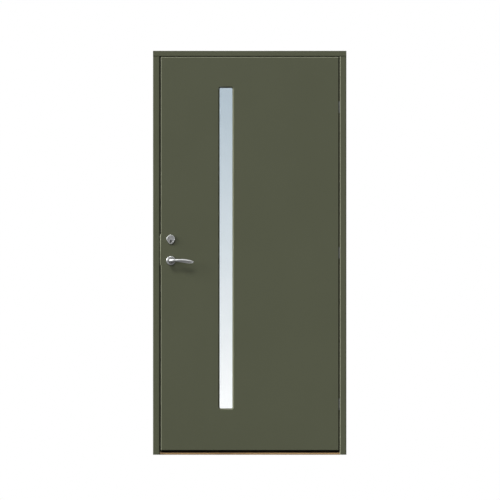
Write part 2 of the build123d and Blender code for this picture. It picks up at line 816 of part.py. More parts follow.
# Key cylinder: ring, housing and plug with its keyway
with BuildPart() as cylinder_ring:
    with BuildSketch(facing_out(outer_y)):
        egg(0)
    extrude(amount=ring_proud)
    fillet(faces().sort_by(Axis.Y)[0].edges(), ring_width / 2)
    with BuildSketch(facing_out(outer_y)):
        egg(ring_width)
    extrude(amount=ring_proud, mode=Mode.SUBTRACT)
keep(cylinder_ring.part, "cylinder_ring")

plug_radius = 7.6
housing_sunk = 1.6          # the housing's face behind the ring's
housing_front = outer_y - ring_proud + housing_sunk
housing_back = -case_thickness / 2 - mortise_clearance
plug_short = 2.5            # the plug ends this far inside its housing
bar_gap = 1.5               # between the plug and the drive bar
plug_back = housing_back - plug_short
keyway_width = 2.4
keyway_height = 9.0
keyway_depth = 24.0
with BuildPart() as cylinder_housing:
    with BuildSketch(facing_out(housing_front)):
        egg(ring_width)
    extrude(amount=housing_front - outer_y)
    with BuildSketch(facing_out(outer_y)):
        egg(ring_width)
    extrude(amount=outer_y - housing_back)
    with BuildSketch(facing_out(housing_front)):
        with Locations((spindle_x, key_z)):
            Circle(plug_radius + running)
    extrude(amount=housing_front - housing_back, mode=Mode.SUBTRACT)
keep(cylinder_housing.part, "cylinder_housing")

with BuildPart() as key_plug:
    with BuildSketch(facing_out(housing_front)):
        with Locations((spindle_x, key_z)):
            Circle(plug_radius)
    extrude(amount=housing_front - plug_back)
    with BuildSketch(facing_out(housing_front)):
        with Locations((spindle_x, key_z)):
            SlotOverall(keyway_height, keyway_width, rotation=90)
    extrude(amount=-keyway_depth, mode=Mode.SUBTRACT)
keep(key_plug.part, "key_plug")

# Thumbturn: rose, knob with its wing, and the drive bar through the case
thumb_rose_height = 8.0
with BuildPart() as thumbturn_rose:
    with BuildSketch(facing_out(inner_y)):
        egg(0)
    extrude(amount=-thumb_rose_height)
    fillet(faces().sort_by(Axis.Y)[-1].edges(), rose_step)
    with BuildSketch(facing_out(inner_y)):
        with Locations((spindle_x, key_z)):
            Circle(rose_bore)
    extrude(amount=-thumb_rose_height, mode=Mode.SUBTRACT)
keep(thumbturn_rose.part, "thumbturn_rose")

bar_width = 8.0
bar_thickness = 2.4
bar_front = plug_back + bar_gap
knob_disc_radius = 12.6
knob_disc_height = 4.0
wing_length = 34.0
wing_thickness = 9.0
wing_height = 15.0
wing_round = 2.0
knob_y = inner_y + thumb_rose_height + turning_gap
bar_back = knob_y + knob_disc_height
with BuildPart() as drive_bar:
    with BuildSketch(facing_out(bar_front)):
        with Locations((spindle_x, key_z)):
            Rectangle(bar_thickness, bar_width)
    extrude(amount=bar_front - bar_back)
keep(drive_bar.part, "drive_bar")

with BuildPart() as thumbturn:
    with BuildSketch(facing_out(inner_y + turning_gap)):
        with Locations((spindle_x, key_z)):
            Circle(neck_radius)
    extrude(amount=inner_y + turning_gap - knob_y)
    with BuildSketch(facing_out(knob_y)):
        with Locations((spindle_x, key_z)):
            Circle(knob_disc_radius)
    extrude(amount=-knob_disc_height)
    with BuildSketch(facing_out(knob_y + knob_disc_height)):
        with Locations((spindle_x, key_z)):
            SlotOverall(wing_length, wing_thickness, rotation=90)
    extrude(amount=-wing_height)
    fillet(faces().sort_by(Axis.Y)[-1].edges(), wing_round)
    add(drive_bar.part, mode=Mode.SUBTRACT)
keep(thumbturn.part, "thumbturn")

# Spindle, follower and levers: one turning group
spindle_size = 8.0
spindle_reach = 70.0
arm_half = 2.0              # half the thickness of the follower's arm and the latch's tail
follower_arm_width = 6.0
follower_arm_tip = 20.0
with BuildPart() as lever_spindle:
    with BuildSketch(facing_out(-spindle_reach)):
        with Locations((spindle_x, spindle_z)):
            Rectangle(spindle_size, spindle_size)
    extrude(amount=-2 * spindle_reach)
keep(lever_spindle.part, "lever_spindle")

follower_half = case_inside - turning_gap
with BuildPart() as lever_follower:
    with BuildSketch(facing_out(-follower_half)):
        with Locations((spindle_x, spindle_z)):
            Circle(follower_radius)
    extrude(amount=-2 * follower_half)
    with BuildSketch(facing_out(-case_thickness / 2)):
        with Locations((spindle_x, spindle_z)):
            Circle(follower_trunnion)
    extrude(amount=-case_thickness)
    with BuildSketch(facing_out(-arm_half)):
        with Locations((spindle_x, spindle_z + follower_arm_tip / 2)):
            Rectangle(follower_arm_width, follower_arm_tip)
    extrude(amount=-2 * arm_half)
    add(lever_spindle.part, mode=Mode.SUBTRACT)
keep(lever_follower.part, "lever_follower")

# Each lever: a turned neck with a domed hub, and a grip lofted through leaning ellipses.
# Distances along the grip are from the spindle; "out" is from the leaf's face.
hub_radius = 13.2
neck_end = 20.0
hub_end = 50.0
lever_out = 57.5
grip_sections = (
    # along, middle above the spindle, height, thickness, lean, out
    (0.0, 1.6, 14.5, 14.0, 0.0, 49.0),
    (22.0, 1.4, 15.2, 12.5, 4.0, 50.5),
    (50.0, 0.2, 18.4, 10.5, 14.0, 51.0),
    (79.0, -3.2, 21.6, 8.6, 24.0, 50.5),
    (99.0, -6.4, 18.2, 7.0, 26.0, 49.5),
    (112.0, -7.4, 11.6, 5.2, 24.0, 48.5),
    (119.0, -7.2, 5.2, 3.4, 20.0, 48.0),
)


def lever(side):
    face = side * inner_y
    with BuildPart() as piece:
        with BuildSketch(turning_plane(spindle_z)):
            with BuildLine():
                neck = Polyline(
                    (0, face + side * turning_gap), (neck_radius, face + side * turning_gap),
                    (neck_radius, face + side * neck_end),
                )
                flare = Spline(
                    neck @ 1, (hub_radius, face + side * hub_end),
                    tangents=((0, side), (0, side)),
                )
                dome = Spline(
                    flare @ 1, (0, face + side * lever_out), tangents=((0, side), (-1, 0)),
                )
                Line(dome @ 1, neck @ 0)
            make_face()
        revolve(axis=axis_at(spindle_z))
        for along, rise, height, thickness, lean, out in grip_sections:
            place = Plane(
                origin=(spindle_x + along, face + side * out, spindle_z + rise),
                x_dir=(0, 1, 0), z_dir=(1, 0, 0),
            )
            with BuildSketch(place):
                Ellipse(thickness / 2, height / 2, rotation=-side * lean)
        loft()
        add(lever_spindle.part, mode=Mode.SUBTRACT)
    return piece.part


keep(lever(-1), "outer_lever")
keep(lever(1), "inner_lever")

# Latch bolt: bevelled head, and a tail whose lug the follower's arm draws back
head_length = 31.0
tail_lift = 1.0             # the tail passes this far above the follower's arm
tail_height = 6.0
lug_width = 6.0
lug_height = 15.0
lug_gap = 1.0
latch_tip = leaf_left - latch_reach
latch_flat = 2.0
tail_low = spindle_z + follower_arm_tip + tail_lift
tail_high = tail_low + tail_height
riser_width = 10.0
latch_rear = latch_tip + head_length
lug_left = spindle_x + follower_arm_width / 2 + lug_gap
with BuildPart() as latch_bolt:
    with BuildSketch(Plane.XY.offset(spindle_z - latch_height / 2)):
        with BuildLine():
            Polyline(
                (latch_rear, -latch_thickness / 2), (latch_tip, -latch_thickness / 2),
                (latch_tip, latch_flat - latch_thickness / 2),
                (leaf_left - latch_flat, latch_thickness / 2),
                (latch_rear, latch_thickness / 2), close=True,
            )
        make_face()
    extrude(amount=latch_height)
    with BuildSketch(facing_out(-arm_half)):
        with Locations((latch_rear, spindle_z)):
            Rectangle(riser_width, tail_high - spindle_z, align=(Align.MAX, Align.MIN))
        with Locations((latch_rear, tail_low)):
            Rectangle(lug_left + lug_width - latch_rear, tail_height, align=(Align.MIN, Align.MIN))
        with Locations((lug_left, tail_high)):
            Rectangle(lug_width, lug_height, align=(Align.MIN, Align.MAX))
    extrude(amount=-2 * arm_half)
keep(latch_bolt.part, "latch_bolt")

# Bolt drive: a pinion on the drive bar and a rack on the bolt's tail
pinion_teeth = 16
quarter_turn = math.pi / 2
pitch_radius = bolt_reach / quarter_turn
tooth_pitch = 2 * math.pi * pitch_radius / pinion_teeth
backlash = 0.5
addendum = 1.2
dedendum = 1.6
flank_slope = math.tan(math.radians(20))
tooth_half = tooth_pitch / 4 - backlash / 4
pinion_tip_half = 0.62
pinion_root_half = 1.27
tooth_sunk = 1.0
pinion_half = 3.0           # half the width of the teeth
rack_back = 5.0
rack_teeth = 8
rack_first = -2
root_radius = pitch_radius - dedendum
with BuildPart() as bolt_pinion:
    with BuildSketch(facing_out(-pinion_half)):
        with Locations((spindle_x, key_z)):
            Circle(root_radius)
            with PolarLocations(0, pinion_teeth, start_angle=-90):
                Polygon(
                    (root_radius - tooth_sunk, -pinion_root_half), (root_radius, -pinion_root_half),
                    (pitch_radius, -tooth_half), (pitch_radius + addendum, -pinion_tip_half),
                    (pitch_radius + addendum, pinion_tip_half), (pitch_radius, tooth_half),
                    (root_radius, pinion_root_half), (root_radius - tooth_sunk, pinion_root_half),
                    align=None,
                )
    extrude(amount=-2 * pinion_half)
    with BuildSketch(facing_out(-case_thickness / 2)):
        with Locations((spindle_x, key_z)):
            Circle(pinion_trunnion)
    extrude(amount=-case_thickness)
    add(drive_bar.part, mode=Mode.SUBTRACT)
keep(bolt_pinion.part, "bolt_pinion")

bolt_length = 30.0
bolt_rear = leaf_left + bolt_length
rack_margin = 2.0
rack_left = case_front + bolt_reach + rack_margin
rack_right = spindle_x + (rack_first + rack_teeth - 0.5) * tooth_pitch + rack_margin
rack_pitch_z = key_z - pitch_radius
rack_root_z = rack_pitch_z - dedendum
rack_low_z = rack_root_z - rack_back
with BuildPart() as deadbolt:
    with BuildSketch(facing_out(-latch_thickness / 2)):
        with Locations((leaf_left, key_z)):
            Rectangle(bolt_length, latch_height, align=(Align.MIN, Align.CENTER))
    extrude(amount=-latch_thickness)
    fillet(edges().filter_by(Axis.Y).group_by(Axis.X)[0], header_top_radius)
    with BuildSketch(facing_out(-pinion_half)):
        with Locations((rack_left, rack_low_z)):
            Rectangle(rack_right - rack_left, rack_back, align=Align.MIN)
            Rectangle(bolt_rear - rack_left, key_z - rack_low_z, align=Align.MIN)
        for tooth in range(rack_first, rack_first + rack_teeth):
            with Locations((spindle_x + (tooth + 0.5) * tooth_pitch, rack_pitch_z)):
                Polygon(
                    (-tooth_half - dedendum * flank_slope, -dedendum),
                    (-tooth_half + addendum * flank_slope, addendum),
                    (tooth_half - addendum * flank_slope, addendum),
                    (tooth_half + dedendum * flank_slope, -dedendum),
                    align=None,
                )
    extrude(amount=-2 * pinion_half)
keep(deadbolt.part, "deadbolt")
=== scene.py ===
import math

import bpy
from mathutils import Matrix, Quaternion, Vector


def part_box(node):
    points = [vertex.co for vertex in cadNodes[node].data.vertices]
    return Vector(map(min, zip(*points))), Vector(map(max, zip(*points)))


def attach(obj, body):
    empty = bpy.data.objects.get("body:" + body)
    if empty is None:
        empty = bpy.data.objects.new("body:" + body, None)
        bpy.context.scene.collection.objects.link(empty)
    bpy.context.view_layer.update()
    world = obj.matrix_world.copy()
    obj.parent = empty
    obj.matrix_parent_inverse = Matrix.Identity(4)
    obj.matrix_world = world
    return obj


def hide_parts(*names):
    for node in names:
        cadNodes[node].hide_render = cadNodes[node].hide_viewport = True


# Front door in its frame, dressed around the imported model. Metres, outside along -Y.
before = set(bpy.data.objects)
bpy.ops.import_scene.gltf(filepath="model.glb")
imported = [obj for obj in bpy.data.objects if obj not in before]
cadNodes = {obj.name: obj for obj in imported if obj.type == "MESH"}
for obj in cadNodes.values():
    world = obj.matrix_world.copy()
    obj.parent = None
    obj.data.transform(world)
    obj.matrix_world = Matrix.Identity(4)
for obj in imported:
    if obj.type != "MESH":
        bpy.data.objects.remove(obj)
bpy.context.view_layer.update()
print("frame loaded:", len(cadNodes), "nodes")


def hexColor(text):
    # sRGB hex to the linear colour a shader socket wants
    channels = [int(text[i:i + 2], 16) / 255 for i in (1, 3, 5)]
    return tuple(c / 12.92 if c <= 0.04045 else ((c + 0.055) / 1.055) ** 2.4 for c in channels) + (1.0,)


def perMm(size):
    # texture scale for a pattern of this size in millimetres on object coordinates
    return 1000.0 / size


def addNode(material, kind, settings=None, inputs=None):
    # one shader node with its settings; an input is a value or another node's output
    node = material.node_tree.nodes.new(kind)
    for key, value in (settings or {}).items():
        setattr(node, key, value)
    for key, value in (inputs or {}).items():
        if isinstance(value, bpy.types.NodeSocket):
            material.node_tree.links.new(value, node.inputs[key])
        else:
            node.inputs[key].default_value = value
    return node


def newMaterial(name, **values):
    material = bpy.data.materials.new(name)
    material.use_nodes = True
    shader = material.node_tree.nodes["Principled BSDF"]
    for key, value in values.items():
        shader.inputs[key.replace("_", " ")].default_value = value
    return material, shader


def join(material, output, shader, socket):
    material.node_tree.links.new(output, shader.inputs[socket])


def objectPoint(material, scale=(1, 1, 1)):
    place = addNode(material, "ShaderNodeTexCoord")
    return addNode(material, "ShaderNodeMapping", None,
                   {"Vector": place.outputs["Object"], "Scale": scale}).outputs["Vector"]


def addRamp(material, value, stops):
    # what follows a value between stops: each is a position with an sRGB hex or a plain amount
    ramp = addNode(material, "ShaderNodeValToRGB", None, {"Fac": value})
    elements = ramp.color_ramp.elements
    while len(elements) < len(stops):
        elements.new(0.5)
    for element, (position, level) in zip(elements, stops):
        element.position = position
        element.color = hexColor(level) if isinstance(level, str) else (level, level, level, 1)
    return ramp.outputs["Color"]


def addMath(material, operation, first, second):
    # the value of one arithmetic node
    return addNode(material, "ShaderNodeMath", {"operation": operation},
                   {0: first, 1: second}).outputs["Value"]


def addMix(material, factor, first, second):
    # a colour between two others
    return addNode(material, "ShaderNodeMix", {"data_type": "RGBA"},
                   {"Factor": factor, "A": first, "B": second}).outputs["Result"]


def addNoise(material, sizeMm, detail, stretch=(1, 1, 1), distortion=0.0):
    # the value of a noise pattern of this size, drawn out along an axis whose stretch is below 1
    return addNode(material, "ShaderNodeTexNoise", None,
                   {"Vector": objectPoint(material, stretch), "Scale": perMm(sizeMm), "Detail": detail,
                    "Distortion": distortion}).outputs["Fac"]


def addBump(material, shader, height, strength, depth, invert=False):
    # relief that follows a value; its depth is in metres
    bump = addNode(material, "ShaderNodeBump", {"invert": invert},
                   {"Height": height, "Strength": strength, "Distance": depth})
    join(material, bump.outputs["Normal"], shader, "Normal")


def dressNode(names, material):
    for name in names:
        slots = cadNodes[name].data.materials
        slots.clear()
        slots.append(material)


# Satin lacquer, sprayed on board and pine: fine orange peel, next to no colour change, and a painted
# highlight on rounded edges that face up or to the lock side
lacquerLook = {
    "tones": [(0.3, "#484b39"), (0.7, "#4a4d3b")], "roughness": 0.3, "specular": 0.25,
    "cloudMm": 420.0, "peelMm": 2.6, "grainMm": 3.0, "grainStretch": 0.02, "bump": (0.35, 0.0001),
    # painted highlight: the pale colour drawn on lit rounded edges, and how much of it goes on the leaf and
    # frame and on the beads
    "edge": "#8a8c76", "edgeHighlightAmount": 0.75, "beadHighlightAmount": 0.22,
    "edgeTurn": (0.995, 0.9),         # largest part of the normal where the painted edge highlight starts and where it is full
    "edgeReachMm": (488.0, 2070.0),   # sideways from the middle, and up: past these the edges get no painted highlight
    "highlightTurn": 0.02,               # least turn upwards or to the lock side that gets the painted highlight
}


def makeLacquer(name, grainAxis=None, edgeHighlightAmount=lacquerLook["edgeHighlightAmount"]):
    look = lacquerLook
    material, shader = newMaterial(name, Roughness=look["roughness"], Specular_IOR_Level=look["specular"])
    tint = addRamp(material, addNoise(material, look["cloudMm"], 3.0), look["tones"])
    # painted highlight: the pale colour is mixed into rounded edges that face up or to the lock side, where
    # the light falls on them, and not into the frame's outer corners
    facing = addNode(material, "ShaderNodeTexCoord")
    slope = addNode(material, "ShaderNodeVectorMath", {"operation": "ABSOLUTE"},
                    {0: facing.outputs["Normal"]})
    sides = addNode(material, "ShaderNodeSeparateXYZ", None, {"Vector": slope.outputs["Vector"]})
    flatter = addMath(material, "MAXIMUM", sides.outputs["X"], sides.outputs["Y"])
    flattest = addMath(material, "MAXIMUM", flatter, sides.outputs["Z"])
    starts, full = look["edgeTurn"]
    thin = addNode(material, "ShaderNodeMapRange", None,
                   {"Value": flattest, "From Min": starts, "From Max": full, "To Max": edgeHighlightAmount})
    reach = addNode(material, "ShaderNodeVectorMath", {"operation": "ABSOLUTE"},
                    {0: facing.outputs["Object"]})
    side, up = look["edgeReachMm"]
    share = addNode(material, "ShaderNodeVectorMath", {"operation": "MULTIPLY"},
                    {0: reach.outputs["Vector"], 1: (perMm(side), 0, perMm(up))})
    parts = addNode(material, "ShaderNodeSeparateXYZ", None, {"Vector": share.outputs["Vector"]})
    farther = addMath(material, "MAXIMUM", parts.outputs["X"], parts.outputs["Z"])
    inside = addMath(material, "LESS_THAN", farther, 1.0)
    turned = addNode(material, "ShaderNodeVectorMath", {"operation": "DOT_PRODUCT"},
                     {0: facing.outputs["Normal"], 1: (-1, 0, 1)})
    facesLight = addMath(material, "GREATER_THAN", turned.outputs["Value"], look["highlightTurn"])
    # painted highlight: how much of the pale colour each lit edge gets
    paintedHighlight = addMath(material, "MULTIPLY", thin.outputs["Result"],
                   addMath(material, "MULTIPLY", inside, facesLight))
    join(material, addMix(material, paintedHighlight, tint, hexColor(look["edge"])), shader, "Base Color")
    height = addNoise(material, look["peelMm"], 2.0)
    if grainAxis is not None:
        # pine grain telegraphs through the paint, drawn out along the piece
        stretch = [1.0, 1.0, 1.0]
        stretch[grainAxis] = look["grainStretch"]
        height = addMath(material, "ADD", height, addNoise(material, look["grainMm"], 4.0, stretch))
    addBump(material, shader, height, *look["bump"])
    return material


# Oiled oak: long growth bands and short dark pores along X
oakLook = {
    "tones": [(0.32, "#8d6b3f"), (0.62, "#b59362")], "roughness": 0.5,
    "bandMm": 9.0, "bandStretch": (0.03, 1, 1), "bandDistortion": 0.6,
    "pore": "#523a1c", "poreMm": 1.1, "poreStretch": (0.05, 1, 1), "poreAmount": [(0.58, 0.0), (0.7, 0.6)],
    "bump": (0.3, 0.0002),
    # height on the front face in mm, and how much painted shade darkens the oak there: the leaf's shadow near
    # the top, a contact shadow at the foot
    "paintedShade": [(0.0, 0.75), (2.0, 0.65), (3.8, 0.0), (8.2, 0.0), (10.3, 0.75), (14.0, 0.88)],
    "paintedShadeColour": "#2c1c0a", "frontTurn": -0.6,
}


def makeOak():
    material, shader = newMaterial("oiledOak", Roughness=oakLook["roughness"])
    bands = addNoise(material, oakLook["bandMm"], 5.0, oakLook["bandStretch"], oakLook["bandDistortion"])
    pores = addRamp(material, addNoise(material, oakLook["poreMm"], 2.0, oakLook["poreStretch"]),
                    oakLook["poreAmount"])
    clean = addMix(material, pores, addRamp(material, bands, oakLook["tones"]), hexColor(oakLook["pore"]))
    # painted shade darkens the front face along its two edges: the leaf's shadow along the top and a contact
    # shadow at the foot
    where = addNode(material, "ShaderNodeTexCoord")
    spot = addNode(material, "ShaderNodeSeparateXYZ", None, {"Vector": where.outputs["Object"]})
    top = oakLook["paintedShade"][-1][0]
    height = addNode(material, "ShaderNodeMapRange", None,
                     {"Value": spot.outputs["Z"], "From Max": top / 1000})
    paintedShade = addRamp(material, height.outputs["Result"], [(z / top, amount) for z, amount in oakLook["paintedShade"]])
    side = addNode(material, "ShaderNodeSeparateXYZ", None, {"Vector": where.outputs["Normal"]})
    front = addMath(material, "LESS_THAN", side.outputs["Y"], oakLook["frontTurn"])
    # painted shade mixed into the oak's front face
    shadedOak = addMix(material, addMath(material, "MULTIPLY", paintedShade, front), clean,
                    hexColor(oakLook["paintedShadeColour"]))
    join(material, shadedOak, shader, "Base Color")
    addBump(material, shader, pores, *oakLook["bump"], invert=True)
    return material


# Rigid polyurethane foam: pale cream with open cells
foamLook = {
    "tones": [(0.1, "#b8ab76"), (0.6, "#d9cf9e")], "roughness": 0.9, "cellMm": 1.4, "bump": (0.4, 0.0004),
}


def makeFoam():
    material, shader = newMaterial("polyurethaneFoam", Roughness=foamLook["roughness"])
    cells = addNode(material, "ShaderNodeTexVoronoi", None,
                    {"Vector": objectPoint(material), "Scale": perMm(foamLook["cellMm"])}).outputs["Distance"]
    join(material, addRamp(material, cells, foamLook["tones"]), shader, "Base Color")
    addBump(material, shader, cells, *foamLook["bump"])
    return material


# Acid-etched glass between the clear panes scatters the light; its tint runs from blue-grey at the head to
# near white at the foot, a painted reflection of the sky
etchedLook = {
    "roughness": 0.3, "ior": 1.12, "etchMm": 0.9, "bump": (0.1, 0.00005),
    "tints": [(0.3, "#f8f9fb"), (1.1, "#d5dee5"), (1.84, "#b4c3cf")],   # height above the floor, colour
}


def makeEtchedGlass(lowest, highest):
    material, shader = newMaterial("acidEtchedGlass", Roughness=etchedLook["roughness"],
                                   IOR=etchedLook["ior"], Transmission_Weight=1.0)
    place = addNode(material, "ShaderNodeSeparateXYZ", None, {"Vector": objectPoint(material)})
    # painted reflection: the tint follows the height on the pane
    rise = addNode(material, "ShaderNodeMapRange", None,
                   {"Value": place.outputs["Z"], "From Min": lowest, "From Max": highest})
    stops = [((z - lowest) / (highest - lowest), tint) for z, tint in etchedLook["tints"]]
    join(material, addRamp(material, rise.outputs["Result"], stops), shader, "Base Color")
    addBump(material, shader, addNoise(material, etchedLook["etchMm"], 1.0), *etchedLook["bump"])
    return material


def makeGrained(name, look):
    # a finish whose colour, shine and relief all follow one noise pattern
    material, shader = newMaterial(name, **look["shader"])
    grain = addNoise(material, look["grainMm"], look["detail"], look.get("stretch", (1, 1, 1)),
                     look.get("distortion", 0.0))
    join(material, addRamp(material, grain, look["tones"]), shader, "Base Color")
    if "roughness" in look:
        least, most = look["roughness"]
        spread = addNode(material, "ShaderNodeMapRange", None,
                         {"Value": grain, "To Min": least, "To Max": most})
        join(material, spread.outputs["Result"], shader, "Roughness")
    if "bump" in look:
        addBump(material, shader, grain, *look["bump"])
    return material


# Spruce, planed and sealed: the liner round the glass, soft yellow with darker late wood
spruceLook = {
    "shader": {"Roughness": 0.55}, "grainMm": 6.0, "detail": 4.0, "stretch": (1, 1, 0.025),
    "distortion": 0.8, "tones": [(0.38, "#c9a877"), (0.68, "#a57d4a")], "bump": (0.2, 0.0002),
}
# Satin stainless steel: brushed lines spread the shine sideways
steelLook = {
    "shader": {"Metallic": 1.0}, "grainMm": 0.5, "detail": 2.0, "stretch": (1, 1, 0.02),
    "tones": [(0.3, "#a3a4a4"), (0.7, "#b6b7b7")], "roughness": (0.3, 0.4), "bump": (0.12, 0.00005),
}
# The same steel brushed crosswise, a little darker, and the key plug's nickel-plated brass, drawn dark grey
# as painted shade of its recess
facedSteelLook = {**steelLook, "stretch": (0.02, 1, 1), "tones": [(0.3, "#8f9090"), (0.7, "#a4a5a5")]}
# painted shade: the plug's tones are darkened for the recess it sits in
nickelLook = {**facedSteelLook, "tones": [(0.3, "#5a5a58"), (0.7, "#6c6c6a")]}
# Zinc-plated steel: cool grey with the faint spangle and cloudiness of a passivated bath
zincLook = {
    "shader": {"Metallic": 1.0}, "grainMm": 12.0, "detail": 5.0,
    "tones": [(0.35, "#75797d"), (0.65, "#94989b")], "roughness": (0.28, 0.48),
}
# Extruded rubber: near black, dull, with a fine drag texture from the die
rubberLook = {
    "shader": {"Roughness": 0.8, "Specular_IOR_Level": 0.03}, "grainMm": 0.8, "detail": 2.0,
    "tones": [(0.35, "#080808"), (0.7, "#0f0f0f")], "bump": (0.25, 0.0001),
}
# The folded spacer bar and the moulded blocks: plain, with a faint roll or mould texture
spacerLook = {
    "shader": {"Roughness": 0.4, "Metallic": 0.6}, "grainMm": 3.0, "detail": 2.0,
    "tones": [(0.35, "#7d8081"), (0.65, "#8e9192")], "bump": (0.15, 0.0001),
}
blockLook = {
    "shader": {"Roughness": 0.5}, "grainMm": 1.2, "detail": 2.0,
    "tones": [(0.35, "#35373a"), (0.65, "#3f4144")], "bump": (0.15, 0.0001),
}
# Clear float glass, barely tinted
clearLook = {
    "shader": {"Roughness": 0.015, "IOR": 1.52, "Transmission_Weight": 1.0},
    "grainMm": 300.0, "detail": 1.0, "tones": [(0.0, "#ffffff"), (1.0, "#fbfdfc")],
}

boardLacquer = makeLacquer("satinLacquerOnBoard")
beadLacquer = makeLacquer("satinLacquerOnBead", edgeHighlightAmount=lacquerLook["beadHighlightAmount"])
uprightLacquer = makeLacquer("satinLacquerUpright", grainAxis=2)
crossLacquer = makeLacquer("satinLacquerCross", grainAxis=0)
oiledOak = makeOak()
uprightSpruce = makeGrained("sealedSpruceUpright", spruceLook)
satinSteel = makeGrained("satinStainless", steelLook)
satinSteelFaced = makeGrained("satinStainlessFaced", facedSteelLook)
zincSteel = makeGrained("zincPlatedSteel", zincLook)
nickelBrass = makeGrained("nickelPlatedBrass", nickelLook)
rubber = makeGrained("extrudedRubber", rubberLook)
foam = makeFoam()
spacerBar = makeGrained("foldedSpacerBar", spacerLook)
mouldedBlock = makeGrained("mouldedPolypropylene", blockLook)
clearGlass = makeGrained("floatGlass", clearLook)
paneLow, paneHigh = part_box("middle_pane")
etchedGlass = makeEtchedGlass(paneLow.z, paneHigh.z)

dressNode(["outer_skin", "inner_skin", "pry_guard"], boardLacquer)
dressNode(["outer_glazing_bead", "inner_glazing_bead"], beadLacquer)
# the leaf's edge timbers are painted with it, so the gaps stay dark green from every side
dressNode(["lock_jamb", "hinge_jamb", "lock_stile", "hinge_stile"], uprightLacquer)
dressNode(["header", "top_rail", "bottom_rail"], crossLacquer)
dressNode(["threshold"], oiledOak)
dressNode(["window_liner"], uprightSpruce)
dressNode(["insulation_core"], foam)
dressNode(["lock_side_seal", "hinge_side_seal", "head_seal", "threshold_seal",
           "outer_glazing_tape", "inner_glazing_tape"], rubber)
dressNode(["outer_pane", "inner_pane"], clearGlass)
dressNode(["middle_pane"], etchedGlass)
dressNode(["outer_spacer", "inner_spacer"], spacerBar)
dressNode(["setting_blocks"], mouldedBlock)
dressNode(["outer_rose", "inner_rose", "thumbturn_rose", "cylinder_ring", "cylinder_housing",
           "outer_lever", "inner_lever", "thumbturn", "lock_faceplate"], satinSteel)
dressNode(["key_plug"], nickelBrass)
dressNode(["strike_plate", "strike_screws", "corner_screws", "threshold_screws", "hinge_housing_screws",
           "hinge_pins", "bottom_hinge_housing", "middle_hinge_housing", "top_hinge_housing",
           "pry_guard_screws", "lock_case", "faceplate_screws", "hinge_arm_screws",
           "bottom_hinge_arm", "middle_hinge_arm", "top_hinge_arm", "lever_spindle",
           "lever_follower", "drive_bar", "bolt_pinion", "latch_bolt", "deadbolt"], zincSteel)
print("finishes on the packed nodes")


# Small tools for the pieces modelled here; sizes in millimetres become metres on the way in
def mm(*values):
    metres = tuple(value / 1000 for value in values)
    return metres[0] if len(metres) == 1 else metres


alongY = (math.radians(90), 0, 0)   # lays the axis of a disc or a cylinder along Y


def near(first, second, gap=1e-6):
    return abs(first - second) < gap


def clearSelection():
    if bpy.context.mode != "OBJECT":
        bpy.ops.object.mode_set(mode="OBJECT")
    bpy.ops.object.select_all(action="DESELECT")


def selectOnly(*pieces):
    # object mode with these pieces selected and the first of them active
    clearSelection()
    for piece in pieces:
        piece.select_set(True)
    bpy.context.view_layer.objects.active = pieces[0]


def editAll():
    # edit mode with the whole mesh selected
    bpy.ops.object.mode_set(mode="EDIT")
    bpy.ops.mesh.select_all(action="SELECT")


def applyPlace():
    bpy.ops.object.transform_apply(location=True, rotation=True, scale=True)


def addBlock(location, size):
    # a box round the location, with its size written into its mesh
    clearSelection()
    bpy.ops.mesh.primitive_cube_add(size=1, location=location)
    block = bpy.context.object
    block.scale = size
    applyPlace()
    return block


def pickFaces(piece, test):
    # edit mode with only the faces whose centre and normal pass the test selected
    bpy.ops.object.mode_set(mode="OBJECT")
    mesh = piece.data
    mesh.vertices.foreach_set("select", [False] * len(mesh.vertices))
    mesh.edges.foreach_set("select", [False] * len(mesh.edges))
    mesh.polygons.foreach_set("select", [bool(test(face.center, face.normal)) for face in mesh.polygons])
    bpy.ops.object.mode_set(mode="EDIT")
    bpy.ops.mesh.select_mode(type="FACE")


def pickEdges(piece, test):
    # edit mode with only the edges whose two ends pass the test selected
    bpy.ops.object.mode_set(mode="OBJECT")
    mesh = piece.data
    spots = [vertex.co for vertex in mesh.vertices]
    mesh.vertices.foreach_set("select", [False] * len(mesh.vertices))
    mesh.polygons.foreach_set("select", [False] * len(mesh.polygons))
    mesh.edges.foreach_set("select", [bool(test(*(spots[i] for i in edge.vertices))) for edge in mesh.edges])
    bpy.ops.object.mode_set(mode="EDIT")
    bpy.ops.mesh.select_mode(type="EDGE")


def finishPiece(piece, material, body, nodes, angle):
    # smooth shading, finish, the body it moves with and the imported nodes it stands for
    selectOnly(piece)
    bpy.ops.object.shade_smooth_by_angle(angle=math.radians(angle))
    piece.data.materials.clear()
    piece.data.materials.append(material)
    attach(piece, body)
    if nodes:
        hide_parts(*nodes)
    return piece


def turnPiece(name, x, z, side, profile, sides=96, closed=False):
    # a turned part: a circle drawn along its axis from each (radius, y) of the profile to the next
    clearSelection()
    radius, reach = profile[0]
    bpy.ops.mesh.primitive_circle_add(vertices=sides, radius=mm(radius), rotation=alongY,
                                      location=mm(x, side * reach, z))
    piece = bpy.context.object
    piece.name = name
    applyPlace()
    editAll()
    for nextRadius, nextReach in profile[1:] + ([profile[0]] if closed else []):
        bpy.ops.mesh.extrude_region_move(
            TRANSFORM_OT_translate={"value": mm(0, side * (nextReach - reach), 0)})
        scale = nextRadius / radius
        bpy.ops.transform.resize(value=(scale, 1, scale), center_override=mm(x, side * nextReach, z))
        radius, reach = nextRadius, nextReach
    if not closed:
        bpy.ops.mesh.edge_face_add()
        firstReach = mm(side * profile[0][1])
        pickEdges(piece, lambda a, b: near(a.y, firstReach) and near(b.y, firstReach)
                  and math.hypot(a.x - mm(x), a.z - mm(z)) > mm(profile[0][0]) * 0.99)
        bpy.ops.mesh.edge_face_add()
    bpy.ops.mesh.select_all(action="SELECT")
    bpy.ops.mesh.remove_doubles(threshold=1e-6)
    bpy.ops.mesh.normals_make_consistent(inside=False)
    bpy.ops.object.mode_set(mode="OBJECT")
    return piece


